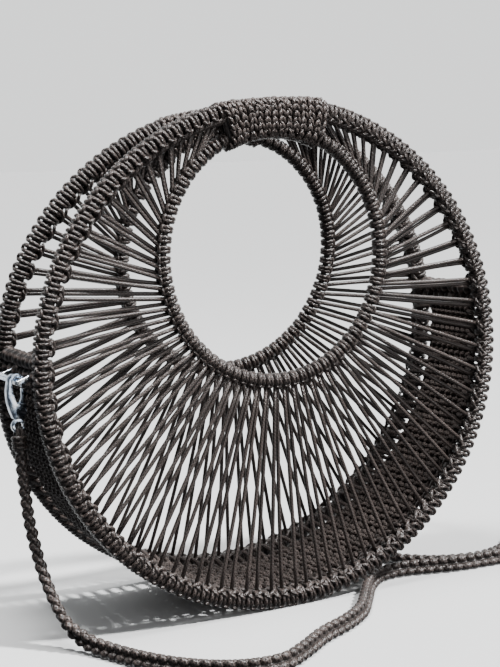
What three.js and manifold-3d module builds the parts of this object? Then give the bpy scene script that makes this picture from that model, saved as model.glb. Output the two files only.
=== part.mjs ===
// A round macrame handbag: two hoops laced to smaller handle hoops, a knotted gusset and a strap on clasps.
import * as THREE from 'three';
import { mergeVertices } from 'three/addons/utils/BufferGeometryUtils.js';
import Module from 'manifold-3d';

const wasm = await Module();
wasm.setup();

// Driving dimensions in millimetres, angles in degrees. X is the width, Y the depth and Z is up.
const CLEARANCE = 0.3;             // gap between pieces that touch
const HOOP_RADIUS = 144;           // outer hoop, to the middle of its section
const HOOP_SECTION = 6;            // radius of the outer hoop with its knots
const HOOP_FLAT = 0.8;             // depth by which the knots are pressed flat on the ground
const HANDLE_HALF_WIDTH = 70;      // handle hoop, a slightly tall oval, to the middle of its section
const HANDLE_HALF_HEIGHT = 73;
const HANDLE_SECTION = 4.5;        // radius of the handle hoop with its knots
const HANDLE_DROP = 12;            // between the two hoops' middles at the top
const CUFF_HALF_ANGLE = 12.8;      // reach of the knotted sleeve round both hoops, from the top
const CUFF_WALL = 1.8;             // sleeve's wall over the hoops
const CUFF_ROUNDING = 3;           // rounding of the sleeve's long edges
const LACING_END_ANGLE = 13.7;     // where the lacing stops beside the sleeve, from the top
const CORD_PAIRS = 64;             // pairs of cords laced from each handle hoop to its outer hoop
const LACED_HALF_ANGLE = 143;      // reach of the lacing on the handle hoop, from its bottom
const SPREAD = 1.54;               // a pair's angle on the outer hoop over that on the handle hoop, at the bottom
const SPREAD_EASE = 1.81e-5;       // how the spread eases off towards the top, per square degree
const PAIR_WIDTH = { handle: 5.1, hoop: 6.2 };
const LACING_THICKNESS = 3.4;
const LACING_RIM = 2.6;            // knots between the gaps and the outer hoop
const LEAST_GAP = 1;               // pairs closer than this lie together
const GUSSET = { inner: 141, outer: 145 };
const HEM = { inner: 139.8, outer: 147.8, angle: 5.6 };
const LOOP = { width: 36, height: 13, bar: 3, tilt: 18 };
const CLASP = { thickness: 5.2, throat: 2.6, wall: 2.2, bottom: -20.4 };
const LEVER = { thickness: 2.2, knuckle: 1.8, bore: 1.05, pin: 0.7, pivotX: -2.2, pivotZ: -14.5 };
const EYE = { outer: 4, hole: 2.3, thickness: 2.4, stem: 1.2, stemTop: -17.7 };
const STRAP_DIAMETER = 9;
const STRAP_STEPS = 78;

// The two faces of the bag: the front one stands upright and the back one leans towards it.
const faces = [
  { name: 'front', footY: -44.4, lean: 0, inward: 1 },
  { name: 'back', footY: 46.3, lean: 8, inward: -1 },
];

// The gusset's two ends: how far each reaches up, and the hardware that hangs there.
const ends = [
  { name: 'left', endAngle: -84.9, turn: 180, loopX: -144, loopY: -16, loopZ: 152.2, claspY: -26.5 },
  { name: 'right', endAngle: 77.6, turn: 0, loopX: 144, loopY: -6, loopZ: 168.5, claspY: 4 },
];

// The strap's middle line, from under the left clasp, along the ground and up to the right clasp.
const strapRoute = [
  [-153.5, -26.5, 119.1], [-153, -26.5, 101], [-152, -26.5, 85], [-151, -27, 71], [-149, -28, 57],
  [-147, -30, 45], [-144.5, -34, 33], [-141.5, -40, 21.5], [-137.5, -48, 12], [-132, -58, 6.5],
  [-125, -73, 4.6], [-115, -96, 4.5], [-103, -115, 4.5], [-88, -130, 4.5], [-71, -138.5, 4.5],
  [-53, -139, 4.5], [-36, -129, 4.5], [-16, -114, 4.5], [6, -102, 4.5], [23, -89, 4.5],
  [39, -68, 4.5], [55, -46.5, 4.5], [69, -35, 4.5], [86, -33, 4.5], [104, -38, 4.5],
  [122, -43, 4.5], [145, -45, 4.5], [170, -47, 4.5], [196, -49, 4.5], [219, -47.5, 4.5],
  [239, -39, 4.5], [250, -19.5, 4.5], [245.5, 3, 4.5], [226, 14.5, 4.5], [204.5, 7.5, 4.5],
  [188, -8.5, 4.5], [173, -24, 4.5], [155, -32, 4.5], [136, -32.5, 4.5], [116, -25, 4.5],
  [100, -9, 4.5], [90, 13, 4.5], [87, 37, 4.5], [92, 58, 5.2], [103, 75, 9],
  [119, 84, 17], [135, 82, 31], [147, 70, 49], [152.5, 52, 70], [153.5, 34, 92],
  [153.5, 17, 114.5], [153.5, 4, 135.4],
];

const cord = { color: 0x50443f, roughness: 0.62, metalness: 0 };
const chrome = { color: 0xc9cdd2, roughness: 0.18, metalness: 1 };
const radians = THREE.MathUtils.degToRad;
const handleCentreZ = HOOP_RADIUS - HANDLE_DROP - HANDLE_HALF_HEIGHT;
const frontCentreZ = HOOP_RADIUS + HOOP_SECTION - HOOP_FLAT;

function piece(name, geometry, finish) {
  const mesh = new THREE.Mesh(geometry, new THREE.MeshStandardMaterial(finish));
  mesh.name = name;
  return mesh;
}

// A closed mesh as a solid that can be joined and cut.
function solid(geometry) {
  const bare = geometry.clone();
  bare.deleteAttribute('normal');
  bare.deleteAttribute('uv');
  const merged = mergeVertices(bare, 1e-4);
  const vertProperties = merged.getAttribute('position').array;
  const triVerts = Uint32Array.from(merged.getIndex().array);
  return new wasm.Manifold(new wasm.Mesh({ numProp: 3, vertProperties, triVerts }));
}

function geometryOf(body) {
  const mesh = body.getMesh();
  const geometry = new THREE.BufferGeometry();
  geometry.setAttribute('position', new THREE.BufferAttribute(mesh.vertProperties, 3));
  geometry.setIndex(new THREE.BufferAttribute(mesh.triVerts, 1));
  return geometry;
}

// An outline in X and Z, made a plate of the given depth centred on the XZ plane.
function plate(outline, depth, rounding = 0) {
  const flat = depth - 2 * rounding;
  const geometry = new THREE.ExtrudeGeometry(outline, {
    depth: flat,
    bevelEnabled: rounding > 0,
    bevelThickness: rounding,
    bevelSize: rounding,
    bevelOffset: -rounding,
    bevelSegments: 2,
  });
  geometry.translate(0, 0, -flat / 2);
  geometry.rotateX(Math.PI / 2);
  return geometry;
}

// Points on an upright oval, with angles from its top and to the right.
function arc(halfWidth, halfHeight, centreZ, from, to, steps) {
  return Array.from({ length: steps + 1 }, (_, step) => {
    const angle = radians(from + ((to - from) * step) / steps);
    return new THREE.Vector2(halfWidth * Math.sin(angle), centreZ + halfHeight * Math.cos(angle));
  });
}

const circleArc = (radius, from, to, steps) => arc(radius, radius, 0, from, to, steps);

function rod(radius, length, sides = 12) {
  return new THREE.CylinderGeometry(radius, radius, length, sides);
}

// The hoops lie in the XZ plane, round the outer hoop's middle.
function hoop(section) {
  return new THREE.TorusGeometry(HOOP_RADIUS, section, 12, 54).rotateX(Math.PI / 2);
}

function handleHoop(section) {
  const radius = (HANDLE_HALF_WIDTH + HANDLE_HALF_HEIGHT) / 2;
  const geometry = new THREE.TorusGeometry(radius, section, 8, 52).rotateX(Math.PI / 2);
  geometry.scale(HANDLE_HALF_WIDTH / radius, 1, HANDLE_HALF_HEIGHT / radius);
  return geometry.translate(0, 0, handleCentreZ);
}

// The sleeve is bored for both hoops.
function cuff() {
  const reach = HOOP_RADIUS + HOOP_SECTION + CUFF_WALL;
  const inset = HANDLE_SECTION + CUFF_WALL;
  const halfWidth = HANDLE_HALF_WIDTH - inset;
  const innerAngle = THREE.MathUtils.radToDeg(
    Math.asin((handleCentreZ + HANDLE_HALF_HEIGHT) * Math.sin(radians(CUFF_HALF_ANGLE)) / halfWidth),
  );
  const outline = new THREE.Shape([
    ...circleArc(reach, -CUFF_HALF_ANGLE, CUFF_HALF_ANGLE, 8),
    ...arc(halfWidth, HANDLE_HALF_HEIGHT - inset, handleCentreZ, innerAngle, -innerAngle, 8),
  ]);
  const sleeve = solid(plate(outline, 2 * (HOOP_SECTION + CUFF_WALL), CUFF_ROUNDING));
  const bored = sleeve.subtract(solid(hoop(HOOP_SECTION + CLEARANCE)));
  return geometryOf(bored.subtract(solid(handleHoop(HANDLE_SECTION + CLEARANCE))));
}

// One edge of a pair of cords, from the handle hoop to the outer hoop, with angles from the bottom.
function pairEdge(angle, side) {
  const outerAngle = SPREAD * angle - SPREAD_EASE * angle ** 3;
  const bottom = 180;
  const start = arc(
    HANDLE_HALF_WIDTH + HANDLE_SECTION, HANDLE_HALF_HEIGHT + HANDLE_SECTION, handleCentreZ,
    bottom - angle, bottom - angle, 1,
  )[0];
  const end = circleArc(HOOP_RADIUS - HOOP_SECTION, bottom - outerAngle, bottom - outerAngle, 1)[0];
  const along = end.clone().sub(start).normalize();
  const across = new THREE.Vector2(-along.y, along.x).multiplyScalar(side / 2);
  start.addScaledVector(across, PAIR_WIDTH.handle);
  end.addScaledVector(across, PAIR_WIDTH.hoop);
  return { start, end, across };
}

// Where a cord's edge reaches a circle round the outer hoop's middle.
function meetCircle({ start, end }, radius) {
  const run = end.clone().sub(start);
  const b = start.dot(run) / run.lengthSq();
  const c = (start.lengthSq() - radius ** 2) / run.lengthSq();
  return start.clone().addScaledVector(run, Math.sqrt(b * b - c) - b);
}

// The gap between two neighbouring pairs, or null where they lie together.
function lacingGap(angle, nextAngle) {
  const left = pairEdge(angle, 1);
  const right = pairEdge(nextAngle, -1);
  const rim = HOOP_RADIUS - HOOP_SECTION - CLEARANCE - LACING_RIM;
  const leftEnd = meetCircle(left, rim);
  const rightEnd = meetCircle(right, rim);
  const across = left.across.clone().normalize();
  const startWidth = right.start.clone().sub(left.start).dot(across);
  const endWidth = rightEnd.clone().sub(leftEnd).dot(across);
  const open = (LEAST_GAP - startWidth) / (endWidth - startWidth);
  if (endWidth < 2 * LEAST_GAP || open > 0.7) return null;
  return [
    left.start.clone().lerp(leftEnd, Math.max(open, 0.05)),
    leftEnd,
    rightEnd,
    right.start.clone().lerp(rightEnd, Math.max(open, 0.05)),
  ];
}

// The crescent of laced cords between a handle hoop and its outer hoop.
function lacing() {
  const outer = HOOP_RADIUS - HOOP_SECTION - CLEARANCE;
  const inset = HANDLE_SECTION + CLEARANCE;
  const halfWidth = HANDLE_HALF_WIDTH + inset;
  const endX = outer * Math.sin(radians(LACING_END_ANGLE));
  const innerAngle = THREE.MathUtils.radToDeg(Math.asin(endX / halfWidth));
  const outline = new THREE.Shape([
    ...circleArc(outer, LACING_END_ANGLE, 360 - LACING_END_ANGLE, 60),
    ...arc(halfWidth, HANDLE_HALF_HEIGHT + inset, handleCentreZ, 360 - innerAngle, innerAngle, 52),
  ]);
  const pitch = (2 * LACED_HALF_ANGLE) / CORD_PAIRS;
  for (let pair = 0; pair < CORD_PAIRS - 1; pair += 1) {
    const angle = -LACED_HALF_ANGLE + (pair + 0.5) * pitch;
    const gap = lacingGap(angle, angle + pitch);
    if (gap) outline.holes.push(new THREE.Path(gap));
  }
  return plate(outline, LACING_THICKNESS);
}

// One face of the bag, leaning about its outer hoop's middle.
function face({ name, footY, lean }) {
  const group = new THREE.Group();
  const tilt = radians(lean);
  group.rotation.x = tilt;
  group.position.y = footY - HOOP_RADIUS * Math.sin(tilt);
  group.position.z = HOOP_RADIUS * Math.cos(tilt) + HOOP_SECTION - HOOP_FLAT;
  group.updateMatrix();
  const ground = new THREE.BoxGeometry(120, 60, 20).translate(0, footY, -10);
  ground.applyMatrix4(group.matrix.clone().invert());
  const standing = solid(hoop(HOOP_SECTION)).subtract(solid(ground));
  group.add(
    piece(`hoop_${name}`, geometryOf(standing), cord),
    piece(`handle_hoop_${name}`, handleHoop(HANDLE_SECTION), cord),
    piece(`lacing_${name}`, lacing(), cord),
    piece(`cuff_${name}`, cuff(), cord),
  );
  return group;
}

// A rectangular metal loop, grown all over by the given amount; X runs out from the bag.
function loop(grow) {
  const { width, height, bar } = LOOP;
  const box = (halfWidth, near, far) => [
    new THREE.Vector2(near, -halfWidth), new THREE.Vector2(far, -halfWidth),
    new THREE.Vector2(far, halfWidth), new THREE.Vector2(near, halfWidth),
  ];
  const half = bar / 2 + grow;
  const outline = new THREE.Shape(box(width / 2 + grow, -half, height - bar + half));
  outline.holes.push(new THREE.Path(box(width / 2 - bar - grow, half, height - bar - half)));
  const geometry = new THREE.ExtrudeGeometry(outline, { depth: 2 * half, bevelEnabled: false });
  geometry.translate(0, 0, -half);
  return geometry.rotateY(radians(LOOP.tilt));
}

function hardwarePlace({ turn, loopX, loopY, loopZ }) {
  const group = new THREE.Group();
  group.position.set(loopX, loopY, loopZ);
  group.rotation.z = radians(turn);
  group.updateMatrix();
  return group;
}

// The gusset: a curved band with a thick hem at each end, trimmed to the faces and bored for the loops.
function gusset() {
  const [left, right] = ends.map(({ endAngle }) => endAngle);
  const hemStart = right + HEM.angle;
  const hemEnd = 360 + left - HEM.angle;
  const outline = new THREE.Shape([
    ...circleArc(HEM.outer, right, hemStart, 2),
    ...circleArc(GUSSET.outer, hemStart, hemEnd, 48),
    ...circleArc(HEM.outer, hemEnd, 360 + left, 2),
    ...circleArc(HEM.inner, 360 + left, hemEnd, 2),
    ...circleArc(GUSSET.inner, hemEnd, hemStart, 48),
    ...circleArc(HEM.inner, hemStart, right, 2),
  ]);
  const depth = 160;
  let band = solid(plate(outline, depth).translate(0, 0, frontCentreZ));
  for (const { footY, lean, inward } of faces) {
    const beyond = new THREE.BoxGeometry(400, depth, 500);
    beyond.translate(0, inward * (HOOP_SECTION + CLEARANCE - depth / 2), 0);
    beyond.rotateX(radians(lean)).translate(0, footY, HOOP_SECTION - HOOP_FLAT);
    band = band.subtract(solid(beyond));
  }
  for (const end of ends) {
    const channel = loop(CLEARANCE).applyMatrix4(hardwarePlace(end).matrix);
    band = band.subtract(solid(channel));
  }
  return geometryOf(band);
}

// The clasp's hook, with the loop's bar at the origin, its spine outwards and its throat open inwards.
function claspBody() {
  const { throat, wall, thickness, bottom } = CLASP;
  const reach = throat + wall;
  const bowZ = -0.2;
  const noseZ = -3.2;
  const shoulderZ = -12;
  const outline = new THREE.Shape();
  outline.moveTo(-throat, noseZ);
  outline.lineTo(-reach, noseZ);
  outline.lineTo(-reach, bowZ);
  outline.absarc(0, bowZ, reach, Math.PI, 0, true);
  outline.quadraticCurveTo(reach + 2.6, -10, 2.8, bottom);
  outline.lineTo(-2.8, bottom);
  outline.lineTo(-4.4, -17);
  outline.lineTo(-4.4, shoulderZ);
  outline.lineTo(0.7, shoulderZ);
  outline.lineTo(throat - 0.1, -5.5);
  outline.lineTo(throat, bowZ);
  outline.absarc(0, bowZ, throat, 0, Math.PI, false);
  const hook = solid(plate(outline, thickness));
  const slot = new THREE.BoxGeometry(6.9, LEVER.thickness + 2 * CLEARANCE, 5);
  slot.translate(-2.55, 0, -14.4);
  const bore = rod(EYE.stem + CLEARANCE, 6).rotateX(Math.PI / 2);
  bore.translate(0, 0, EYE.stemTop + CLEARANCE - 3);
  const pin = rod(LEVER.pin, thickness - 1).translate(LEVER.pivotX, 0, LEVER.pivotZ);
  return geometryOf(hook.subtract(solid(slot)).subtract(solid(bore)).add(solid(pin)));
}

function claspLever() {
  const { knuckle, bore, pivotX, pivotZ, thickness } = LEVER;
  const outline = new THREE.Shape();
  outline.moveTo(pivotX - knuckle, pivotZ);
  outline.absarc(pivotX, pivotZ, knuckle, Math.PI, 2 * Math.PI, false);
  outline.lineTo(-2.7, -9);
  outline.lineTo(-2.7, -4);
  outline.lineTo(-4.7, -4);
  outline.lineTo(-4.7, -6);
  outline.lineTo(-6, -6.6);
  outline.lineTo(-6, -7.6);
  outline.lineTo(-4.5, -9);
  const hole = new THREE.Path();
  hole.absarc(pivotX, pivotZ, bore, 0, 2 * Math.PI, true);
  outline.holes.push(hole);
  return plate(outline, thickness);
}

function claspEye() {
  const centreZ = CLASP.bottom - CLEARANCE - EYE.outer;
  const outline = new THREE.Shape().absarc(0, centreZ, EYE.outer, 0, 2 * Math.PI, false);
  outline.holes.push(new THREE.Path().absarc(0, centreZ, EYE.hole, 0, 2 * Math.PI, true));
  const stemBottom = centreZ + EYE.hole + 0.6;
  const length = EYE.stemTop - stemBottom;
  const stem = rod(EYE.stem, length).rotateX(Math.PI / 2);
  stem.translate(0, 0, stemBottom + length / 2);
  return geometryOf(solid(plate(outline, EYE.thickness)).add(solid(stem)));
}

// A loop with its clasp hanging on the far bar.
function hardware(end) {
  const group = hardwarePlace(end);
  const clasp = new THREE.Group();
  const reach = LOOP.height - LOOP.bar;
  const tilt = radians(LOOP.tilt);
  const slide = (end.claspY - end.loopY) * Math.cos(radians(end.turn));
  clasp.position.set(reach * Math.cos(tilt), slide, -reach * Math.sin(tilt));
  clasp.add(
    piece(`clasp_body_${end.name}`, claspBody(), chrome),
    piece(`clasp_lever_${end.name}`, claspLever(), chrome),
    piece(`clasp_eye_${end.name}`, claspEye(), chrome),
  );
  group.add(piece(`strap_loop_${end.name}`, loop(0), chrome), clasp);
  return group;
}

function strap() {
  const path = new THREE.CatmullRomCurve3(strapRoute.map((point) => new THREE.Vector3(...point)));
  const section = new THREE.Shape();
  section.absarc(0, 0, STRAP_DIAMETER / 2, 0, 2 * Math.PI, false);
  return new THREE.ExtrudeGeometry(section, { extrudePath: path, steps: STRAP_STEPS, curveSegments: 4 });
}

const bag = new THREE.Group();
bag.add(...faces.map(face), piece('gusset', gusset(), cord), ...ends.map(hardware));
bag.add(piece('strap', strap(), cord));

export default bag;
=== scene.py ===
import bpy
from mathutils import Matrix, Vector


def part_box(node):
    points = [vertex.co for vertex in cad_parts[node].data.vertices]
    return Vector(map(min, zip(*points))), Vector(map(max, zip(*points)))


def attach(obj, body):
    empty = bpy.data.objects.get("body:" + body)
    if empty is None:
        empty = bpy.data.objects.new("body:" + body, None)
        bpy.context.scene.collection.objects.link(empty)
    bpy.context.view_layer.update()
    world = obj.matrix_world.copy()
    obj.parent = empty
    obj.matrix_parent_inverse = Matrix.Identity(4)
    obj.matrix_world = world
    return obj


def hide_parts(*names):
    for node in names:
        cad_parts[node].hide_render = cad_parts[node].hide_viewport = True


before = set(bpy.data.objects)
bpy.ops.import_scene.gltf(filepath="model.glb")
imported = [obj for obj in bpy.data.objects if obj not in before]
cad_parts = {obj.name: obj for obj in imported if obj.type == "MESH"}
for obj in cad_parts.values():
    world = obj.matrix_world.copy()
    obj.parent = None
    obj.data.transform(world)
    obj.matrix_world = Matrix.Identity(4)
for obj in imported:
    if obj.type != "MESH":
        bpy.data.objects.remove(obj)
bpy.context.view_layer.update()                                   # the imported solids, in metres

import bmesh
import bpy
import numpy as np
from mathutils import Matrix, Vector

chance = np.random.default_rng(11)                  # the same small unevenness every run
turn = 2 * np.pi
print("frame loaded")

# camera, set where the picture was taken from
cameraSizes = {
    "place": (-390.15, -795.5, 269.12),             # mm
    "ahead": (0.44021, 0.88926, -0.12424),
    "up": (0.09519, 0.09137, 0.99126),
    "lens": 105.885,                                # mm on a 36 mm wide sensor
}


def makeCamera(sizes):
    ahead = Vector(sizes["ahead"]).normalized()
    right = ahead.cross(Vector(sizes["up"])).normalized()
    up = right.cross(ahead)
    lens = bpy.data.cameras.new("bagCamera")
    lens.sensor_fit = "HORIZONTAL"
    lens.sensor_width = 36
    lens.lens = sizes["lens"]
    lens.clip_start = 0.01
    lens.clip_end = 60
    camera = bpy.data.objects.new("bagCamera", lens)
    turned = Matrix((right, up, -ahead)).transposed().to_4x4()
    camera.matrix_world = Matrix.Translation(Vector(sizes["place"]) * 0.001) @ turned
    bpy.context.scene.collection.objects.link(camera)
    bpy.context.scene.camera = camera


makeCamera(cameraSizes)
print("camera set")


# a node socket that can be added, multiplied and so on, so shader maths reads as plain sums
class Wire:
    def __init__(self, tree, socket=None):
        self.tree = tree
        self.socket = socket

    def node(self, kind, settings=None, inputs=None, output=0):
        made = self.tree.nodes.new(kind)
        for name, value in (settings or {}).items():
            if name == "stops":
                while len(made.color_ramp.elements) < len(value):
                    made.color_ramp.elements.new(0.5)
                for element, (place, colour) in zip(made.color_ramp.elements, value):
                    element.position = place
                    element.color = (*colour, 1)
            else:
                setattr(made, name, value)
        for name, value in (inputs or {}).items():
            if isinstance(value, Wire):
                self.tree.links.new(value.socket, made.inputs[name])
            else:
                made.inputs[name].default_value = value
        return Wire(self.tree, made.outputs[output])

    def sum(self, operation, *values, clamp=False):
        settings = {"operation": operation, "use_clamp": clamp}
        return self.node("ShaderNodeMath", settings, dict(enumerate(values)))

    def __add__(self, other):
        return self.sum("ADD", self, other)

    def __radd__(self, other):
        return self.sum("ADD", other, self)

    def __sub__(self, other):
        return self.sum("SUBTRACT", self, other)

    def __mul__(self, other):
        return self.sum("MULTIPLY", self, other)

    def __rmul__(self, other):
        return self.sum("MULTIPLY", other, self)

    def held(self):
        return self.sum("MULTIPLY", self, 1.0, clamp=True)


# waxed braided cord: two sets of strands wind round it in opposite directions,
# height = the larger of sin(along + around) and sin(along - around); the colour is painted darker in the
# braid's grooves and paler on its crowns, painted shade and painted highlight
cordFinish = {
    "deep": (0.006, 0.0046, 0.0042),
    "middle": (0.036, 0.0266, 0.0234),
    "pale": (0.125, 0.097, 0.087),
    "braidPitch": 2.2,                              # mm for one turn of a strand
    "strands": 4,
}


def cordMaterial(name, lift, gloss, coat=0.3):
    material = bpy.data.materials.new(name)
    material.use_nodes = True
    tree = material.node_tree
    shader = tree.nodes["Principled BSDF"]
    start = Wire(tree)
    place = start.node("ShaderNodeUVMap", {"uv_map": "cordUv"})
    along = start.node("ShaderNodeSeparateXYZ", None, {"Vector": place}, "X")
    around = start.node("ShaderNodeSeparateXYZ", None, {"Vector": place}, "Y")
    tone = start.node("ShaderNodeAttribute", {"attribute_name": "cordTone"}, None, "Fac")
    solid = start.node("ShaderNodeTexCoord", None, None, "Object")
    lay = along * (turn / cordFinish["braidPitch"])
    wind = around * (turn * cordFinish["strands"])
    leftStrand = start.sum("SINE", lay + wind)
    rightStrand = start.sum("SINE", lay - wind)
    braid = start.sum("MAXIMUM", leftStrand, rightStrand) * 0.5 + 0.5
    wear = start.node("ShaderNodeTexNoise", {"noise_dimensions": "3D"},
                      {"Vector": solid, "Scale": 55.0, "Detail": 3.0, "Roughness": 0.6})
    fibre = start.node("ShaderNodeTexNoise", {"noise_dimensions": "3D"},
                       {"Vector": solid, "Scale": 2600.0, "Detail": 2.0, "Roughness": 0.7})
    # painted shade and highlight: braid darkens the grooves and pales the crowns; tone, wear and fibre are
    # the cord's own colour, and lift makes a paler copy
    shade = (braid * 0.8 + tone * 0.22 + wear * 0.36 + fibre * 0.3 - 0.46 + lift).held()
    colour = start.node("ShaderNodeValToRGB", {"stops": [
        (0.0, cordFinish["deep"]), (0.5, cordFinish["middle"]), (1.0, cordFinish["pale"])]}, {"Fac": shade})
    rough = (gloss + 0.22 * fibre - 0.12 * braid).held()
    relief = braid * 0.7 + fibre * 0.5
    bump = start.node("ShaderNodeBump", None, {"Height": relief, "Strength": 0.75, "Distance": 0.0005})
    tree.links.new(colour.socket, shader.inputs["Base Color"])
    tree.links.new(rough.socket, shader.inputs["Roughness"])
    tree.links.new(bump.socket, shader.inputs["Normal"])
    shader.inputs["Sheen Weight"].default_value = 0.05
    shader.inputs["Sheen Roughness"].default_value = 0.4
    shader.inputs["Specular IOR Level"].default_value = 0.2 + coat
    shader.inputs["Coat Weight"].default_value = coat
    shader.inputs["Coat Roughness"].default_value = 0.3
    return material


# polished plating: bright metal with hair scratches; its colour is mottled dark slate, blue and white,
# painted reflection of sky and surroundings, and the same noise gives faint smudges in the roughness
def chromeMaterial(name):
    material = bpy.data.materials.new(name)
    material.use_nodes = True
    tree = material.node_tree
    shader = tree.nodes["Principled BSDF"]
    start = Wire(tree)
    solid = start.node("ShaderNodeTexCoord", None, None, "Object")
    smudgeAndPaintedReflection = start.node("ShaderNodeTexNoise", None, {"Vector": solid, "Scale": 180.0, "Detail": 4.0})
    stretched = start.node("ShaderNodeMapping", None, {"Vector": solid, "Scale": (600.0, 5200.0, 900.0)})
    scratch = start.node("ShaderNodeTexNoise", None, {"Vector": stretched, "Scale": 1.0, "Detail": 3.0})
    # painted reflection: blotches of dark slate, sky blue and white in the base colour
    colour = start.node("ShaderNodeValToRGB", {"stops": [
        (0.36, (0.20, 0.25, 0.33)), (0.5, (0.62, 0.72, 0.86)), (0.62, (0.96, 0.97, 0.98))]}, {"Fac": smudgeAndPaintedReflection})
    rough = (smudgeAndPaintedReflection * 0.18 + scratch * 0.08 + 0.02).held()
    bump = start.node("ShaderNodeBump", None, {"Height": scratch, "Strength": 0.06, "Distance": 0.0002})
    tree.links.new(colour.socket, shader.inputs["Base Color"])
    tree.links.new(rough.socket, shader.inputs["Roughness"])
    tree.links.new(bump.socket, shader.inputs["Normal"])
    shader.inputs["Metallic"].default_value = 1.0
    return material


knottedCord = cordMaterial("knottedCord", 0.0, 0.29)
lacedCord = cordMaterial("lacedCord", 0.02, 0.28)
# painted light: the sleeve's cord is a paler copy of the same cord, making up for the shade between its
# stitches
sleeveCord = cordMaterial("sleeveCord", 0.22, 0.3)
strapCord = cordMaterial("strapCord", 0.0, 0.30)
bandCord = cordMaterial("bandCord", 0.06, 0.6, 0.04)
hemCord = cordMaterial("hemCord", 0.14, 0.42, 0.1)
chrome = chromeMaterial("chrome")
print("finishes made")


def unit(v):
    return v / np.maximum(np.linalg.norm(v, axis=-1, keepdims=True), 1e-9)


# round cords: every row of paths is one centreline, and a ring of points stands square to it at
# each step, point = centre + radius * (cos a * side + sin a * other side)
def roundCords(paths, side, radius, sides, closed=False, tone=None):
    count, steps = paths.shape[:2]
    if closed:
        ahead = np.roll(paths, -1, axis=1) - np.roll(paths, 1, axis=1)
    else:
        ahead = np.gradient(paths, axis=1)
    ahead = unit(ahead)
    side = np.broadcast_to(side, paths.shape)
    side = unit(side - np.sum(side * ahead, axis=-1, keepdims=True) * ahead)
    other = np.cross(ahead, side)
    angle = np.arange(sides) * turn / sides
    thick = np.broadcast_to(radius, (count, steps))[:, :, None, None]
    across = np.cos(angle)[:, None]
    upward = np.sin(angle)[:, None]
    ring = across * side[:, :, None] + upward * other[:, :, None]
    points = paths[:, :, None] + thick * ring
    number = np.arange(count * steps * sides).reshape(count, steps, sides)
    length = np.cumsum(np.linalg.norm(np.diff(paths, axis=1), axis=-1), axis=1)
    length = np.concatenate([np.zeros((count, 1)), length], axis=1)
    if closed:
        last = np.linalg.norm(paths[:, 0] - paths[:, -1], axis=-1)
        near, far = number, np.roll(number, -1, axis=1)
        uNear, uFar = length, np.concatenate([length[:, 1:], (length[:, -1] + last)[:, None]], axis=1)
    else:
        near, far = number[:, :-1], number[:, 1:]
        uNear, uFar = length[:, :-1], length[:, 1:]
    quads = np.stack([near, np.roll(near, -1, axis=2), np.roll(far, -1, axis=2), far], axis=-1)
    quads = quads.reshape(-1, 4)
    v = np.broadcast_to(np.arange(sides) / sides, near.shape)
    uNear = np.broadcast_to(uNear[:, :, None], near.shape)
    uFar = np.broadcast_to(uFar[:, :, None], near.shape)
    step = 1 / sides
    uv = np.stack([np.stack([uNear, v], -1), np.stack([uNear, v + step], -1),
                   np.stack([uFar, v + step], -1), np.stack([uFar, v], -1)], axis=-2).reshape(-1, 2)
    faces = [quads]
    spread = [uv]
    if not closed:
        faces.append(np.concatenate([number[:, 0, ::-1], number[:, -1, :]]))
        spread.append(np.zeros((2 * count * sides, 2)))
    if tone is None:
        tone = chance.random(count)
    tones = np.repeat(tone, steps * sides)
    return {"points": points.reshape(-1, 3), "faces": faces, "uv": spread, "tone": tones}


# a plain tube over a grid of points: open from the first row to the last, closed round each row
def tubeSurface(points, tone):
    rows, columns = points.shape[:2]
    number = np.arange(rows * columns).reshape(rows, columns)
    near, far = number[:-1], number[1:]
    quads = np.stack([near, np.roll(near, -1, axis=1), np.roll(far, -1, axis=1), far], axis=-1)
    quads = quads.reshape(-1, 4)
    flat = points.reshape(-1, 3)
    step = np.linalg.norm(np.diff(points, axis=0), axis=-1).mean()
    uv = np.stack([quads // columns * step, (quads % columns) / columns], axis=-1).reshape(-1, 2)
    return {"points": flat, "faces": [quads], "uv": [uv], "tone": np.full(len(flat), tone)}


def putPiece(name, groups, finish, body, nodes=()):
    corners, starts, uvs = [], [], []
    base = at = 0
    for group in groups:
        for faces, uv in zip(group["faces"], group["uv"]):
            corners.append(faces.ravel() + base)
            starts.append(at + np.arange(len(faces)) * faces.shape[1])
            at += faces.size
            uvs.append(uv)
        base += len(group["points"])
    points = np.concatenate([group["points"] for group in groups]) * 0.001
    corners = np.concatenate(corners).astype(np.int32)
    starts = np.concatenate(starts).astype(np.int32)
    mesh = bpy.data.meshes.new(name)
    mesh.vertices.add(len(points))
    mesh.vertices.foreach_set("co", points.astype(np.float32).ravel())
    mesh.loops.add(len(corners))
    mesh.loops.foreach_set("vertex_index", corners)
    mesh.polygons.add(len(starts))
    mesh.polygons.foreach_set("loop_start", starts)
    mesh.update(calc_edges=True)
    mesh.polygons.foreach_set("use_smooth", np.ones(len(starts), dtype=bool))
    layer = mesh.uv_layers.new(name="cordUv")
    layer.data.foreach_set("uv", np.concatenate(uvs).astype(np.float32).ravel())
    # each cord's random tone, set lowest for the hoop cores and below it for the dark tube in the sleeve,
    # as painted shade
    tone = mesh.attributes.new("cordTone", "FLOAT", "POINT")
    tone.data.foreach_set("value", np.concatenate([group["tone"] for group in groups]).astype(np.float32))
    mesh.materials.append(finish)
    piece = bpy.data.objects.new(name, mesh)
    bpy.context.scene.collection.objects.link(piece)
    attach(piece, body)
    if nodes:
        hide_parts(*nodes)
    print(name, "made,", len(corners) - 2 * len(starts), "triangles")
    return piece


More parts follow.
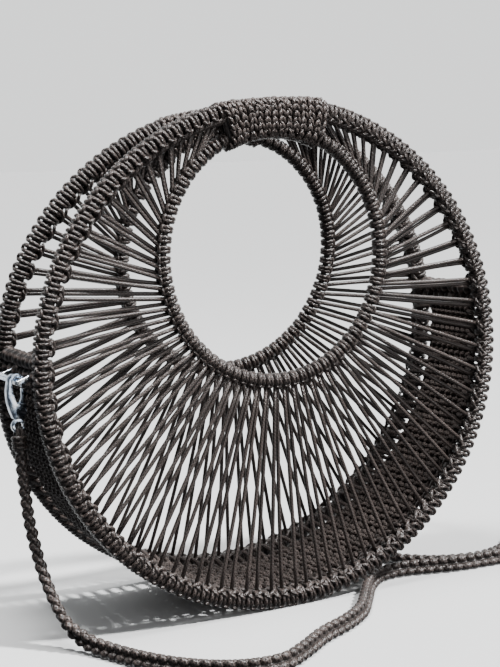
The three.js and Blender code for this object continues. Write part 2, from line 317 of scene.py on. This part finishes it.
# the strap: square knots in a row along one smooth line, lying on the floor and clipped on at both ends
strapSizes = {
    "route": [
        (-153.5, -26.5, 119.1), (-153, -26.5, 101), (-152, -26.5, 85), (-151, -27, 71), (-149, -28, 57),
        (-147, -30, 45), (-144.5, -34, 33), (-141.5, -40, 21.5), (-137.5, -48, 12), (-132, -58, 6.5),
        (-125, -73, 4.6), (-115, -96, 4.5), (-103, -115, 4.5), (-88, -130, 4.5), (-71, -138.5, 4.5),
        (-53, -139, 4.5), (-36, -129, 4.5), (-16, -114, 4.5), (6, -102, 4.5), (23, -89, 4.5),
        (39, -68, 4.5), (55, -46.5, 4.5), (69, -35, 4.5), (86, -33, 4.5), (104, -38, 4.5),
        (122, -43, 4.5), (145, -45, 4.5), (170, -47, 4.5), (196, -49, 4.5), (219, -47.5, 4.5),
        (239, -39, 4.5), (250, -19.5, 4.5), (245.5, 3, 4.5), (226, 14.5, 4.5), (204.5, 7.5, 4.5),
        (188, -8.5, 4.5), (173, -24, 4.5), (155, -32, 4.5), (136, -32.5, 4.5), (116, -25, 4.5),
        (100, -9, 4.5), (90, 13, 4.5), (87, 37, 4.5), (92, 58, 5.2), (103, 75, 9),
        (119, 84, 17), (135, 82, 31), (147, 70, 49), (152.5, 52, 70), (153.5, 34, 92),
        (153.5, 17, 114.5), (153.5, 4, 135.4)],
    "knotPitch": 6.25,                              # mm from one knot to the next
    "bead": 2.35,                                   # radius of a knot's bead at its middle
    "beadHalf": 3.1,
    "halfWidth": 3.2,                               # of the oval that the beads' middles lie on
    "halfThickness": 1.55,
    "rows": (36, 144, 216, 324),                    # where on the oval the rows lie, in degrees
    "slant": 18,                                    # degrees that half a bead turns round the oval
    "hangFace": (-0.90, 0.43, 0.0),                 # edge on to the camera where it hangs
    "floorTilt": 0.4,
    "flatRun": (0.60, 0.66, 0.78, 0.83),            # shares of its length where it lies down, flat
    "flatTilt": 4.0,
    "flatDrop": 1.1,
    "low": 2.35,                                    # lowest that a strand's middle may lie
    "landing": (0.085, 0.155),                      # shares over which it turns from hanging to lying
    "filler": 1.4,
    "fillerAcross": 2.1,
}
tieSizes = {
    "cord": 1.15,
    "apart": 1.2,                                   # from the middle of the eye
    "halfDepth": 2.4,
    "halfHeight": 3.0,
    "drop": 0.2,                                    # below the eye's lowest point
    "bindings": (1.6, 4.2, 6.8),                    # from the strap's end
    "bindingCord": 1.4,
    "bindingHalfWidth": 4.1,
    "bindingHalfThickness": 3.3,
    "bindingSlip": 0.8,
}


# one smooth line through the points: each span is a cubic whose end slopes come from the
# neighbouring points, with spans timed by the square root of their length
def smoothRoute(points, perSpan):
    points = np.array(points, dtype=float)
    ends = np.concatenate([[2 * points[0] - points[1]], points, [2 * points[-1] - points[-2]]])
    p0, p1, p2, p3 = ends[:-3], ends[1:-2], ends[2:-1], ends[3:]
    gap = np.sqrt(np.linalg.norm(np.diff(ends, axis=0), axis=1))[:, None]
    d0, d1, d2 = gap[:-2], gap[1:-1], gap[2:]
    m1 = ((p1 - p0) / d0 - (p2 - p0) / (d0 + d1) + (p2 - p1) / d1) * d1
    m2 = ((p2 - p1) / d1 - (p3 - p1) / (d1 + d2) + (p3 - p2) / d2) * d1
    t = (np.arange(perSpan) / perSpan)[None, :, None]
    p1, p2, m1, m2 = p1[:, None], p2[:, None], m1[:, None], m2[:, None]
    line = p1 + m1 * t + (3 * p2 - 3 * p1 - 2 * m1 - m2) * t**2 + (2 * p1 - 2 * p2 + m1 + m2) * t**3
    return np.concatenate([line.reshape(-1, 3), points[-1:]])


strapLine = smoothRoute(strapSizes["route"], 24)
strapAlong = np.concatenate([[0], np.cumsum(np.linalg.norm(np.diff(strapLine, axis=0), axis=1))])
strapLength = strapAlong[-1]
print("strap is", round(strapLength), "mm long")

# a point on the strap: the flat face looks sideways where it stands on its edge on the floor
def strapPoint(along, across, above):
    line = np.stack([np.interp(along, strapAlong, strapLine[:, k]) for k in range(3)], axis=-1)
    slope = np.gradient(strapLine, strapAlong, axis=0)
    ahead = unit(np.stack([np.interp(along, strapAlong, slope[:, k]) for k in range(3)], axis=-1))
    lies = np.interp(along / strapLength, strapSizes["landing"], (0.0, 1.0))[..., None]
    lies = lies * lies * (3 - 2 * lies)
    flat = np.interp(along / strapLength, strapSizes["flatRun"], (0.0, 1.0, 1.0, 0.0))
    tilt = strapSizes["floorTilt"] + strapSizes["flatTilt"] * flat
    face = unit(np.cross(ahead, (0.0, 0.0, 1.0))) + tilt[..., None] * np.array([0.0, 0.0, 1.0])
    face = lies * unit(face) + (1 - lies) * np.array(strapSizes["hangFace"])
    face = unit(face - np.sum(face * ahead, axis=-1, keepdims=True) * ahead)
    width = np.cross(ahead, face)
    point = line + width * across[..., None] + face * above[..., None]
    point[..., 2] = np.maximum(point[..., 2] - strapSizes["flatDrop"] * flat, strapSizes["low"])
    return point, face, width


def rounded(value, power):
    return np.sign(value) * np.abs(value) ** power


# beads: four rows of plump slanted strands, each row half a knot on from its neighbours, whose
# ends dip under the next ones; plain cords inside close the gaps between them
def strapKnots(sizes):
    pitch = sizes["knotPitch"]
    knot = np.arange(pitch / 2, strapLength - pitch, pitch)[:, None]
    t = np.linspace(-1, 1, 7)[None, :]
    groups = []
    for row, place in enumerate(sizes["rows"]):
        hand = 1 if row % 2 == 0 else -1
        uneven = chance.normal(0, 0.12, knot.shape)
        along = np.clip(knot + row % 2 * pitch / 2 + uneven + sizes["beadHalf"] * t, 0, strapLength)
        angle = np.radians(place + hand * sizes["slant"] * t) + 0 * knot
        dip = 1 - 0.3 * t**2
        across = sizes["halfWidth"] * dip * np.cos(angle)
        above = sizes["halfThickness"] * dip * np.sin(angle)
        bead, face, width = strapPoint(along, across, above)
        outward = np.cos(angle)[..., None] * width + np.sin(angle)[..., None] * face
        groups.append(roundCords(bead, outward, sizes["bead"] * (1 - 0.6 * t**2), 7))
    along = np.linspace(0, strapLength, 320)[None, :]
    across = sizes["fillerAcross"] * np.array([[-1.0], [0.0], [1.0]]) + 0 * along
    filler, face, width = strapPoint(along + 0 * across, across, 0 * across)
    groups.append(roundCords(filler, face, sizes["filler"], 6, tone=np.zeros(3)))
    return groups


# loops that tie each strap end through its clasp's eye, ovals round the eye's lower bar, and a
# binding of three turns below them
def strapTies(sizes):
    groups = []
    angle = np.arange(12)[None, :] * turn / 12
    for side in ("left", "right"):
        low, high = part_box("clasp_eye_" + side)
        x = (low.x + high.x) * 500
        y = (low.y + high.y) * 500
        z = low.z * 1000 - sizes["drop"]
        shift = sizes["apart"] * np.array([[-1.0], [1.0]])
        ring = np.stack([x + shift + 0 * angle, y + sizes["halfDepth"] * np.cos(angle) + 0 * shift,
                         z + sizes["halfHeight"] * np.sin(angle) + 0 * shift], axis=-1)
        outward = np.stack([0 * angle, np.cos(angle), np.sin(angle)], axis=-1)
        groups.append(roundCords(ring, outward, sizes["cord"], 7, closed=True))
    for end, ahead in ((0, 1), (strapLength, -1)):
        inward = np.array(sizes["bindings"])[:, None] + sizes["bindingSlip"] * np.cos(angle)
        along = np.clip(end + ahead * inward, 0, strapLength)
        across = sizes["bindingHalfWidth"] * np.cos(angle) + 0 * along
        above = sizes["bindingHalfThickness"] * np.sin(angle) + 0 * along
        ring, face, width = strapPoint(along, across, above)
        outward = np.cos(angle)[..., None] * width + np.sin(angle)[..., None] * face
        groups.append(roundCords(ring, outward, sizes["bindingCord"], 7, closed=True))
    return groups


strapCords = strapKnots(strapSizes) + strapTies(tieSizes)
strap = putPiece("strapKnots", strapCords, strapCord, "bag", ["strap"])

# floor and light
floorSizes = {"half": 30.0, "colour": (0.69, 0.695, 0.695)}
lampAim = (0, 0, 0.14)                              # metres, as are the places of the lamps
lampSizes = [
    {"name": "keyLamp", "kind": "SUN", "place": (0.95, -0.75, 1.8), "size": 0.1, "power": 7.6},
    {"name": "fillLamp", "kind": "AREA", "place": (0.55, -1.5, 0.45), "size": 1.8, "power": 14},
    {"name": "skyLamp", "kind": "AREA", "place": (-0.3, -0.1, 1.7), "size": 0.5, "power": 34},
]
# light round about, by how far a direction points the camera's way: pale behind the bag, dark elsewhere
airSizes = {
    "ahead": (0.44, 0.89, -0.1),
    "stops": [(0.0, (0.09, 0.095, 0.102)), (0.74, (0.12, 0.125, 0.132)), (0.93, (1.36, 1.38, 1.38)),
              (1.0, (1.38, 1.40, 1.40))],
}


def makeFloor(sizes):
    half = sizes["half"]
    mesh = bpy.data.meshes.new("floor")
    corners = [(-half, -half, 0), (half, -half, 0), (half, half, 0), (-half, half, 0)]
    mesh.from_pydata(corners, [], [(0, 1, 2, 3)])
    floor = bpy.data.objects.new("floor", mesh)
    bpy.context.scene.collection.objects.link(floor)
    material = bpy.data.materials.new("paleFloor")
    material.use_nodes = True
    shader = material.node_tree.nodes["Principled BSDF"]
    shader.inputs["Base Color"].default_value = (*sizes["colour"], 1)
    shader.inputs["Roughness"].default_value = 0.7
    mesh.materials.append(material)
    floor.visible_diffuse = False                   # no light from below, so the gaps stay dark
    floor.visible_glossy = False


def makeAir(sizes):
    world = bpy.data.worlds.new("studio")
    world.use_nodes = True
    start = Wire(world.node_tree)
    way = start.node("ShaderNodeTexCoord", None, None, "Generated")
    parts = [start.node("ShaderNodeSeparateXYZ", None, {"Vector": way}, axis) for axis in "XYZ"]
    x, y, z = sizes["ahead"]
    ahead = parts[0] * x + parts[1] * y + parts[2] * z
    air = start.node("ShaderNodeValToRGB", {"stops": sizes["stops"]}, {"Fac": ahead * 0.5 + 0.5})
    world.node_tree.links.new(air.socket, world.node_tree.nodes["Background"].inputs["Color"])
    bpy.context.scene.world = world


def makeLamp(name, kind, place, size, power):
    light = bpy.data.lights.new(name, kind)
    light.energy = power
    if kind == "SUN":
        light.angle = size
    else:
        light.shape = "DISK"
        light.size = size
    lamp = bpy.data.objects.new(name, light)
    aim = Vector(lampAim) - Vector(place)
    lamp.matrix_world = Matrix.Translation(place) @ aim.to_track_quat("-Z", "Y").to_matrix().to_4x4()
    bpy.context.scene.collection.objects.link(lamp)


makeFloor(floorSizes)
makeAir(airSizes)
for lamp in lampSizes:
    makeLamp(**lamp)
print("floor and light set")

# the two faces: outer hoops stand on the floor, and the back one leans a little
faceSizes = {
    "front": {"footY": -44.4, "lean": 0.0, "out": -1.0, "cuffTurn": 0.0, "cuffGap": 6.2},
    "back": {"footY": 46.3, "lean": 8.0, "out": 1.0, "cuffTurn": -5.0, "cuffGap": 4.0},
}
hoopSizes = {
    "radius": 144.0,
    "foot": 5.2,                                    # height of the hoop's line above the floor
    "cord": 1.2,
    "core": 3.2,
    "reach": 4.55,
    "wraps": 304,
    "cuffHalfAngle": 11.5,                          # no wraps under the sleeve
}
handleSizes = {
    "halfWidth": 70.0,
    "halfHeight": 73.0,
    "middle": 59.0,                                 # above the outer hoop's middle
    "cord": 1.32,
    "core": 1.9,
    "reach": 3.15,
    "mean": 71.5,
    "heads": 64,
    "hiddenHeads": 16,
    "headsHalfAngle": 143.0,
    "cuffHalfAngle": 21.0,                          # no wraps under the sleeve
}
lacingSizes = {
    "cord": 1.22,
    "spread": 1.54,
    "ease": 1.81e-5,
    "pairGap": 3.0,
    "pairFrom": 50,                                 # degrees from the bottom, closing up over the next ones
    "pairOver": 45,
    "layer": 1.1,                                   # neighbours lie this far before and behind the middle
    "sway": 0.35,
}


# from a face's own frame, whose middle is the outer hoop's, to the bag's: tilt by the lean, stand it up
def standUp(face, local):
    lean = np.radians(face["lean"])
    x, y, z = local[..., 0], local[..., 1], local[..., 2]
    radius = hoopSizes["radius"]
    depth = y * np.cos(lean) - z * np.sin(lean) + face["footY"] - radius * np.sin(lean)
    height = y * np.sin(lean) + z * np.cos(lean) + radius * np.cos(lean) + hoopSizes["foot"]
    return np.stack([x, depth, height], axis=-1)


def restOnFloor(points, low):
    points[..., 2] = np.maximum(points[..., 2], low)
    return points


# a line round a hoop: angle is counted from the bottom towards +X, out and deep are offsets from the
# hoop's own line, away from its middle and along the face's outward normal
def outerHoop(face, angle, out, deep):
    radius = hoopSizes["radius"] + out
    x = radius * np.sin(angle)
    return standUp(face, np.stack([x, face["out"] * deep + 0 * x, -radius * np.cos(angle)], axis=-1))


def handleHoop(face, angle, out, deep):
    a, b = handleSizes["halfWidth"], handleSizes["halfHeight"]
    away = unit(np.stack([np.sin(angle) / a, -np.cos(angle) / b], axis=-1))
    x = a * np.sin(angle) + away[..., 0] * out
    z = handleSizes["middle"] - b * np.cos(angle) + away[..., 1] * out
    return standUp(face, np.stack([x, face["out"] * deep + 0 * x, z], axis=-1))


# wraps: rings of cord round a hoop's line, each slipped along the hoop on its inner side
def wraps(face, line, start, mean, sizes, slip):
    phase = np.arange(14)[None, :] * turn / 14
    uneven = chance.normal(0, 0.07, (len(start), 1))
    angle = start[:, None] + (slip[:, None] * (1 - np.cos(phase)) / 2 + uneven) / mean
    reach = sizes["reach"] + chance.normal(0, 0.07, (len(start), 1))
    ring = line(face, angle, reach * np.cos(phase) + 0 * angle, reach * np.sin(phase) + 0 * angle)
    middle = line(face, angle, 0 * angle, 0 * angle)
    groups = [roundCords(restOnFloor(ring, 1.0), ring - middle, sizes["cord"], 7, closed=True)]
    around = np.linspace(0, turn, 121)[:-1][None, :]
    core = line(face, around, 0 * around, 0 * around)
    side = np.array([0.0, 1.0, 0.0])
    # the core gets the lowest tone, painted shade in the gaps between the wraps
    groups.append(roundCords(core, side, sizes["core"], 8, closed=True, tone=np.zeros(1)))
    return groups


# bows: short cords laid over the wraps along the hoop. phase is where round the hoop's section they
# lie, cross how far they turn round it from end to end, and lift how far the middle stands out
def bows(face, line, angle, mean, half, phase, cross, reach, lift, radius):
    t = np.linspace(-1, 1, 6)[None, :]
    spot = angle[:, None] + t * half / mean
    around = np.radians(phase + cross * t) + 0 * spot
    away = reach + lift * (1 - t**2)
    path = line(face, spot, away * np.cos(around), away * np.sin(around))
    middle = line(face, spot, 0 * spot, 0 * spot)
    return roundCords(restOnFloor(path, 1.2), path - middle, radius * (1 - 0.35 * t**4), 6)


# lacing: straight cords from the handle hoop to the outer hoop. Angle on the outer hoop =
# spread * angle on the handle hoop - ease * its cube; towards the sides neighbours close up in pairs
def lacingAngles():
    count = handleSizes["heads"] * 2
    inner = ((np.arange(count) + 0.5) / count * 2 - 1) * handleSizes["headsHalfAngle"]
    outer = lacingSizes["spread"] * inner - lacingSizes["ease"] * inner**3
    paired = outer.copy()
    middle = (outer[1:-1:2] + outer[2::2]) / 2
    gap = np.degrees(lacingSizes["pairGap"] / hoopSizes["radius"]) / 2
    paired[1:-1:2] = middle - gap
    paired[2::2] = middle + gap
    share = np.clip((np.abs(outer) - lacingSizes["pairFrom"]) / lacingSizes["pairOver"], 0, 1)
    share = share * share * (3 - 2 * share)
    return np.radians(inner), np.radians(outer + (paired - outer) * share)


lacingInner, lacingOuter = lacingAngles()


def lacingCords(face):
    count = len(lacingInner)
    layer = lacingSizes["layer"] * np.where(np.arange(count) % 2 == 0, 1.0, -1.0)
    start = handleHoop(face, lacingInner, 2.4 + 0 * layer, layer)
    end = outerHoop(face, lacingOuter, -3.0 + 0 * layer, layer * 1.2)
    t = np.linspace(0, 1, 9)[None, :, None]
    path = start[:, None] * (1 - t) + end[:, None] * t
    sway = chance.normal(0, lacingSizes["sway"], (count, 1, 3)) * np.sin(np.pi * t)
    return roundCords(path + sway, np.array([0.0, 1.0, 0.0]), lacingSizes["cord"], 8)


for name, face in faceSizes.items():
    mean = hoopSizes["radius"]
    count = hoopSizes["wraps"]
    start = np.arange(count) * turn / count
    slip = np.where(np.arange(count) % 2 == 0, 0.25, -1.15)
    fromTop = start - turn / 2 + np.radians(face["cuffTurn"])
    seen = np.abs(fromTop) > np.radians(hoopSizes["cuffHalfAngle"])
    groups = wraps(face, outerHoop, start[seen], mean, hoopSizes, slip[seen])
    for side in (1, -1):
        groups.append(bows(face, outerHoop, lacingOuter, mean, half=3.7, phase=side * 146, cross=side * 24,
                           reach=4.9, lift=1.2, radius=1.15))
    edge = start[seen][::2] + 1.5 / mean
    groups.append(bows(face, outerHoop, edge, mean, half=1.7, phase=38, cross=6,
                       reach=5.0, lift=0.5, radius=1.05))
    groups.append(bows(face, outerHoop, edge + 2.9 / mean, mean, half=1.8, phase=118, cross=-14,
                       reach=4.9, lift=0.9, radius=1.1))
    putPiece("hoopKnots_" + name, groups, knottedCord, "bag", ["hoop_" + name])
    mean = handleSizes["mean"]
    heads = (lacingInner[0::2] + lacingInner[1::2]) / 2
    spare = turn / 2 - np.radians(handleSizes["headsHalfAngle"])
    count = handleSizes["hiddenHeads"]
    hidden = turn / 2 + spare * ((np.arange(count) + 0.5) / count * 2 - 1)
    every = np.concatenate([heads, hidden])
    fromTop = np.mod(every, turn) - turn / 2 + 2 * np.radians(face["cuffTurn"])
    every = every[np.abs(fromTop) > np.radians(handleSizes["cuffHalfAngle"])]
    start = np.concatenate([every, every]) + np.repeat([-1, 1], len(every)) * handleSizes["cord"] / mean
    slip = np.repeat([0.45, -0.45], len(every))
    groups = wraps(face, handleHoop, start, mean, handleSizes, slip)
    for side in (1, -1):
        groups.append(bows(face, handleHoop, heads, mean, half=2.2, phase=side * 35, cross=0,
                           reach=3.6, lift=0.6, radius=1.1))
    putPiece("handleKnots_" + name, groups, knottedCord, "bag", ["handle_hoop_" + name])
    putPiece("lacingCords_" + name, [lacingCords(face)], lacedCord, "bag", ["lacing_" + name])


# handle sleeve: a rounded oblong tube round both hoops. At angle s from the top its section runs from
# the handle hoop's inner side to the outer hoop's top; place round the section goes by equal lengths
cuffSizes = {
    "halfAngle": 12.8,
    "top": 148.6,                                   # from the outer hoop's middle
    "rise": 1.9,                                    # more at the ends
    "halfDepth": 7.7,
    "halfHeight": 13.0,                             # only for spacing the rows evenly round the section
    "corner": 0.6,                                  # below 1, the squarer the section
    "columns": 13,
    "rows": 18,
    "skew": 0.5,
    "cord": 1.28,
    "legRows": 1.55,                                # rows that a leg spans
    "shadeSheet": (-3.2, -6.8),                         # painted shade: a dark tube this far below the surface, and at its ends
    # tone of the dark tube, far below the darkest cord: painted shade
    "shadeSheetTone": -1.5,
}


def cuffPoint(face, s, share, above):
    sizes = cuffSizes
    a = handleSizes["halfWidth"] - face["cuffGap"]      # inside the handle hoop's line
    b = handleSizes["halfHeight"] - face["cuffGap"]
    m = handleSizes["middle"]
    sine, cosine = np.sin(s), np.cos(s)
    p = (sine / a) ** 2 + (cosine / b) ** 2
    q = m * cosine / b**2
    low = (q + np.sqrt(q**2 - p * (m**2 / b**2 - 1))) / p
    part = s / np.radians(sizes["halfAngle"])
    top = sizes["top"] + sizes["rise"] * part**2 + 0.6 * part
    middle = (top + low) / 2
    half = (top - low) / 2
    angle = np.linspace(0, turn, 721)
    corner = sizes["corner"]
    outline = np.stack([sizes["halfHeight"] * rounded(np.cos(angle), corner),
                        sizes["halfDepth"] * rounded(np.sin(angle), corner)], -1)
    length = np.concatenate([[0], np.cumsum(np.linalg.norm(np.diff(outline, axis=0), axis=1))])
    t = np.interp(np.mod(share, 1.0), length / length[-1], angle)
    up = rounded(np.cos(t), corner)
    deep = rounded(np.sin(t), corner)
    away = unit(np.stack([np.cos(t) / sizes["halfHeight"], np.sin(t) / sizes["halfDepth"]], axis=-1))
    radius = middle + half * up + above * away[..., 0]
    depth = sizes["halfDepth"] * deep + above * away[..., 1]
    local = np.stack([radius * sine, face["out"] * depth, radius * cosine], axis=-1)
    swing = np.radians(face["cuffTurn"])
    x, z = local[..., 0].copy(), local[..., 2].copy()
    local[..., 0] = x * np.cos(swing) + z * np.sin(swing)
    local[..., 2] = z * np.cos(swing) - x * np.sin(swing)
    return standUp(face, local)


# knitted stitches: every one is a V of two tapered legs whose ends dip under their neighbours; under them
# lies a dark tube, painted shade that keeps the gaps black
def cuffStitches(face):
    sizes = cuffSizes
    column, row = np.meshgrid(np.arange(sizes["columns"]), np.arange(sizes["rows"]))
    column, row = column.ravel()[:, None], row.ravel()[:, None]
    pitch = 2 * np.radians(sizes["halfAngle"]) / sizes["columns"]
    t = np.linspace(0, 1, 6)[None, :]
    groups = []
    for hand in (-1, 1):
        share = (row + sizes["legRows"] * t + chance.normal(0, 0.11, row.shape)) / sizes["rows"]
        lean = 0.56 - 0.5 * t + chance.normal(0, 0.07, column.shape)
        place = column + 0.5 + sizes["skew"] * np.sin(share * turn) + hand * lean
        s = place * pitch - np.radians(sizes["halfAngle"])
        above = -2.3 + 1.9 * np.sin(np.pi * t) ** 0.7 + chance.normal(0, 0.2, column.shape) + 0 * s
        path = cuffPoint(face, s, share + 0 * s, above)
        outer = cuffPoint(face, s, share + 0 * s, above + 1.0)
        groups.append(roundCords(path, outer - path, sizes["cord"] * (0.4 + 0.4 * np.sin(np.pi * t)), 6))
    # painted shade: a dark tube inside the stitches, so that the gaps between them show black
    rows = np.linspace(-1, 1, 15)[:, None] * np.radians(sizes["halfAngle"] - 0.15)
    rows = np.concatenate([rows[:1], rows, rows[-1:]])
    depth = np.full(rows.shape, sizes["shadeSheet"][0])
    depth[[0, -1]] = sizes["shadeSheet"][1]
    share = np.linspace(0, 1, 49)[:-1][None, :]
    sleeve = cuffPoint(face, rows + 0 * share, share + 0 * rows, depth + 0 * share)
    groups.append(tubeSurface(sleeve if face["out"] > 0 else sleeve[:, ::-1], sizes["shadeSheetTone"]))
    return groups


for name, face in faceSizes.items():
    groups = cuffStitches(face)
    putPiece("cuffStitches_" + name, groups, sleeveCord, "bag", ["cuff_" + name])


# side band: knots on an arc of a wide ring between the hoops. Angle is from the top towards +X,
# share runs -1 to 1 from the front hoop to the back one, above is away from the ring's middle
gussetSizes = {
    "radius": 143.0,
    "middle": 149.2,
    "fromAngle": 77.6,
    "toAngle": 275.1,
    "hem": 5.6,                                     # degrees at each end
    "frontInset": 9.0,                              # from a hoop's line to the band's edge
    "backInset": 16.0,
    "rows": 62,
    "columns": 8,
    "cord": 1.4,
    "tieStart": 4.2,                                # inside the band's edge
    "tieEnd": 1.5,                                  # short of the hoop's line
}
hemSizes = {
    "rows": ((0.24, 1.9, 2.4), (0.76, 1.8, 1.9)),   # place in the hem, half height and half thickness
    "count": 9,
    "cord": 2.55,
    "clear": 6.3,                                   # from a hoop's line
    "above": 0.8,
    "corner": 0.8,
}


def gussetPoint(angle, share, above):
    radius = gussetSizes["radius"] + above
    z = gussetSizes["middle"] + radius * np.cos(angle)
    lean = np.radians(faceSizes["back"]["lean"])
    front = faceSizes["front"]["footY"] + gussetSizes["frontInset"]
    back = faceSizes["back"]["footY"] - np.tan(lean) * (z - hoopSizes["foot"])
    back = back - gussetSizes["backInset"] / np.cos(lean)
    y = front + (share + 1) / 2 * (back - front)
    return np.stack([radius * np.sin(angle), y, z], axis=-1)


def gussetWide(angle):
    edge = gussetPoint(angle, np.ones_like(angle), 0 * angle)[..., 1]
    return edge - gussetPoint(angle, -np.ones_like(angle), 0 * angle)[..., 1]


# square knots in staggered rows: two bars across on each side, bowed out and tilted against each other
def gussetKnots(sizes):
    row, column = np.meshgrid(np.arange(sizes["rows"]), np.arange(sizes["columns"]), indexing="ij")
    row, column = row.ravel(), column.ravel()
    keep = (row % 2 == 0) | (column < sizes["columns"] - 1)
    row, column = row[keep][:, None], column[keep][:, None]
    start = sizes["fromAngle"] + sizes["hem"]
    span = sizes["toAngle"] - sizes["fromAngle"] - 2 * sizes["hem"]
    angle = np.radians(start + (row + 0.5) / sizes["rows"] * span)
    pitch = np.radians(span / sizes["rows"])
    share = ((column + 0.5 + 0.5 * (row % 2)) / sizes["columns"]) * 2 - 1
    t = np.linspace(-1, 1, 5)[None, :]
    groups = []
    for side in (1, -1):
        for bar in (-1, 1):
            hand = bar * np.where(row % 4 < 2, 1.0, -1.0) * side
            spot = angle + pitch * (0.235 * bar + 0.13 * hand * t) + 0 * share
            across = share + t * 0.88 / sizes["columns"] + 0 * spot
            above = side * (0.75 + 1.45 * (1 - t**2)) + 0 * spot
            path = gussetPoint(spot, across, above)
            outer = gussetPoint(spot, across, above + side)
            size = sizes["cord"] * (1.15 - 0.35 * t**2)
            groups.append(roundCords(path, outer - path, size, 6))
    return groups


# cords that run the length of the band, weaving from column to column, with ties to both hoops
def gussetCords(sizes):
    span = np.radians(sizes["toAngle"] - sizes["fromAngle"] - 0.6)
    start = np.radians(sizes["fromAngle"] + 0.3)
    t = np.linspace(0, 1, sizes["rows"] * 2 + 1)[None, :]
    lane = np.arange(sizes["columns"] * 2 + 1)[:, None]
    angle = start + t * span + 0 * lane
    sway = np.where(lane % 2 == 0, 1.0, -1.0) * np.cos(np.pi * t * sizes["rows"])
    share = np.clip(lane / sizes["columns"] - 1 + 0.28 * sway / sizes["columns"], -1, 1)
    path = gussetPoint(angle, share, 0.25 * sway)
    outer = gussetPoint(angle, share, 0.25 * sway + 1)
    groups = [roundCords(path, outer - path, sizes["cord"], 6)]
    row = np.arange(sizes["rows"])[:, None]
    hemmed = np.radians(sizes["fromAngle"] + sizes["hem"])
    inside = np.radians(sizes["toAngle"] - sizes["fromAngle"] - 2 * sizes["hem"])
    spot = hemmed + (row + 0.5) / sizes["rows"] * inside
    bend = np.linspace(0, 1, 7)[None, :]
    for edge, reach in ((-1, sizes["frontInset"]), (1, sizes["backInset"])):
        for side in (1, -1):
            wide = gussetWide(spot + 0 * bend)
            run = bend * (reach - sizes["tieEnd"] + sizes["tieStart"]) - sizes["tieStart"]
            share = edge * (1 + run / wide * 2)
            above = side * (0.8 + 2.9 * np.sin(np.pi * bend * 0.62))
            path = gussetPoint(spot + side * 0.004 + 0.008 * bend, share, above + 0 * spot)
            path = restOnFloor(path, 1.2)
            outer = gussetPoint(spot + side * 0.004 + 0.008 * bend, share, above + side + 0 * spot)
            groups.append(roundCords(path, outer - path, sizes["cord"] * (1 - 0.25 * bend**4), 6))
    return groups


# hems: two rows of fat loops over each end of the band, ovals round its edge
def hemLoops(sizes, band):
    groups = []
    count = sizes["count"]
    phase = np.arange(12)[None, :] * turn / 12
    for end, inward in ((band["fromAngle"], 1), (band["toAngle"], -1)):
        for row, half, thick in sizes["rows"]:
            middle = np.radians(end + inward * row * band["hem"])
            wide = gussetWide(middle)
            first = -1 - 2 * (band["frontInset"] - sizes["clear"]) / wide
            last = 1 + 2 * (band["backInset"] - sizes["clear"]) / wide
            share = first + (last - first) * (np.arange(count)[:, None] + 0.5) / count + 0 * phase
            angle = middle + rounded(np.cos(phase), sizes["corner"]) * half / band["radius"] + 0 * share
            above = sizes["above"] + thick * rounded(np.sin(phase), sizes["corner"]) + 0 * share
            lean = 0.022 * np.cos(phase) * np.where(np.arange(count) % 2 == 0, 1, -1)[:, None]
            lean = lean + chance.normal(0, 0.01, (count, 1))
            above = above + chance.normal(0, 0.45, (count, 1))
            path = gussetPoint(angle, np.clip(share + lean, first, last), above)
            centre = gussetPoint(middle + 0 * angle, share, sizes["above"] + 0 * above)
            loops = roundCords(path, path - centre, sizes["cord"], 10, closed=True)
            loops["uv"] = [uv * (1.0, 0.0) for uv in loops["uv"]]     # turns across, no winding strands
            groups.append(loops)
    return groups


putPiece("gussetKnots", gussetKnots(gussetSizes), bandCord, "bag", ["gusset"])
putPiece("gussetCords", gussetCords(gussetSizes), bandCord, "bag")
putPiece("hemLoops", hemLoops(hemSizes, gussetSizes), hemCord, "bag")


# metal: the solids' own shapes with softened edges, plated
metalSizes = {"edge": 0.45, "sharpest": 40, "flatWithin": 0.02, "weld": 1e-6}


def softEdged(node, body):
    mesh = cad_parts[node].data.copy()
    mesh.name = node + "Plated"
    mesh.materials.clear()
    mesh.materials.append(chrome)
    work = bmesh.new()
    work.from_mesh(mesh)
    bmesh.ops.remove_doubles(work, verts=work.verts, dist=metalSizes["weld"])
    bmesh.ops.dissolve_limit(work, angle_limit=metalSizes["flatWithin"], verts=work.verts, edges=work.edges)
    work.to_mesh(mesh)
    work.free()
    mesh.polygons.foreach_set("use_smooth", np.ones(len(mesh.polygons), dtype=bool))
    mesh.polygons.foreach_set("material_index", np.zeros(len(mesh.polygons), dtype=np.int32))
    piece = bpy.data.objects.new(node + "Plated", mesh)
    bpy.context.scene.collection.objects.link(piece)
    bevel = piece.modifiers.new("softEdge", "BEVEL")
    bevel.width = metalSizes["edge"] * 0.001
    bevel.segments = 3
    bevel.limit_method = "ANGLE"
    bevel.angle_limit = np.radians(metalSizes["sharpest"])
    bevel.harden_normals = True
    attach(piece, body)
    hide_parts(node)
    return piece


for side in ("left", "right"):
    for node, body in (("strap_loop_", "bag"), ("clasp_body_", "bag"), ("clasp_lever_", "lever_" + side),
                       ("clasp_eye_", "bag")):
        name = node + side
        softEdged(name, body)
print("metal made")
